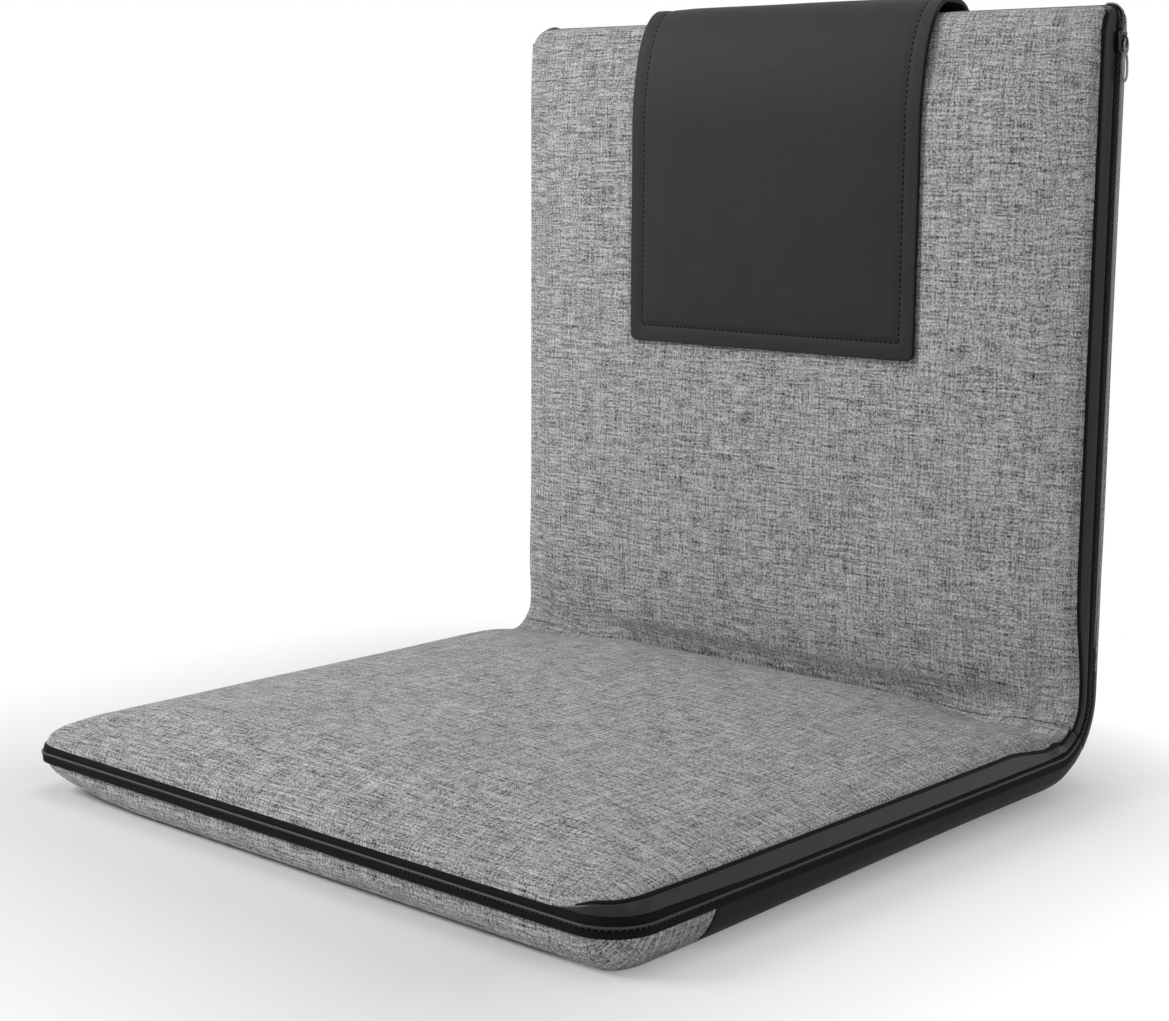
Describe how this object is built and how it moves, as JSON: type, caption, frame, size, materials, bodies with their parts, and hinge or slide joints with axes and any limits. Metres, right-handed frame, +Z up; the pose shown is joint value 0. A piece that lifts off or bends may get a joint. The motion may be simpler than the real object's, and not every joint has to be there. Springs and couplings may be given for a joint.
{
  "type": "floor meditation chair",
  "caption": "Folding padded floor chair: grey fabric seat and back joined by a soft bend, leather carry saddle over the top, zip round the edge, rear pocket.",
  "frame": {"origin": "on the floor, under the middle of the seat's length, in the middle of its width", "axes": "+Z up, the sitter faces -Y, +X to the sitter's left"},
  "size_m": [0.4378, 0.4248, 0.4399],
  "materials": {
    "grey_fabric": "heathered linen weave in mid grey",
    "base_leather": "matte black faux leather",
    "gloss_band": "glossy black faux leather strip",
    "handle_leather": "soft matte charcoal leather with fine grain",
    "zip_tape": "matte black woven tape",
    "zip_teeth": "black nylon coil",
    "zip_metal": "dark nickel, satin",
    "steel": "black powder coat",
    "black_plastic": "moulded, matte",
    "board": "plain rigid board",
    "foam": "open-cell polyurethane foam"
  },
  "bodies": {
    "seat": {"seat_frame_tube": "steel", "seat_cross_tube": "steel", "seat_tube_plugs": "black_plastic", "seat_support_panel": "board", "seat_hinge_leaf_left": "steel", "seat_hinge_leaf_right": "steel", "seat_leaf_rivets": "steel", "seat_pivot_rivets": "steel", "seat_pivot_washers": "black_plastic", "seat_stop_pins": "steel", "seat_cushion_foam": "foam", "seat_core_foam": "foam", "seat_bend_foam": "foam", "seat_base_foam": "foam", "seat_top_cover": "grey_fabric", "seat_lower_cover": "grey_fabric", "seat_base_panel": "base_leather", "seat_zip_upper_tape": "zip_tape", "seat_zip_lower_tape": "zip_tape", "seat_zip_teeth": "zip_teeth", "seat_band_left": "gloss_band", "seat_band_right": "gloss_band"},
    "link": {"hinge_link_left": "steel", "hinge_link_right": "steel"},
    "back": {"back_frame_tube": "steel", "back_cross_tube": "steel", "back_tube_plugs": "black_plastic", "back_support_panel": "board", "back_hinge_leaf_left": "steel", "back_hinge_leaf_right": "steel", "back_leaf_rivets": "steel", "back_pivot_rivets": "steel", "back_pivot_washers": "black_plastic", "back_stop_pins": "steel", "back_cushion_foam": "foam", "back_core_foam": "foam", "back_bend_foam": "foam", "back_rear_foam": "foam", "back_front_cover": "grey_fabric", "back_rear_cover": "grey_fabric", "back_base_panel": "base_leather", "back_zip_front_tape": "zip_tape", "back_zip_rear_tape": "zip_tape", "back_zip_teeth": "zip_teeth", "zip_end_stops": "zip_metal", "back_band_left": "gloss_band", "back_band_right": "gloss_band", "carry_handle": "handle_leather", "pocket_panel": "grey_fabric"},
    "slider": {"zip_slider": "zip_metal"},
    "pull": {"zip_pull": "zip_metal"}
  },
  "joints": [
    {"name": "link_fold", "type": "hinge", "parent": "seat", "child": "link", "pos_m": [0, 0.155, 0.022], "axis": [1, 0, 0], "range_deg": [0, 45]},
    {"name": "back_fold", "type": "hinge", "parent": "link", "child": "back", "pos_m": [0, 0.197, 0.064], "axis": [1, 0, 0], "range_deg": [0, 45]},
    {"name": "zip_slide", "type": "slide", "parent": "back", "child": "slider", "axis": [0, 0, -1], "range_m": [0, 0.335]},
    {"name": "pull_swing", "type": "hinge", "parent": "slider", "child": "pull", "pos_m": [0.21935, 0.197, 0.411], "axis": [0, -1, 0], "range_deg": [0, 165]}
  ],
  "couplings": [
    {"joint": "link_fold", "follows": "back_fold", "ratio": 1}
  ]
}
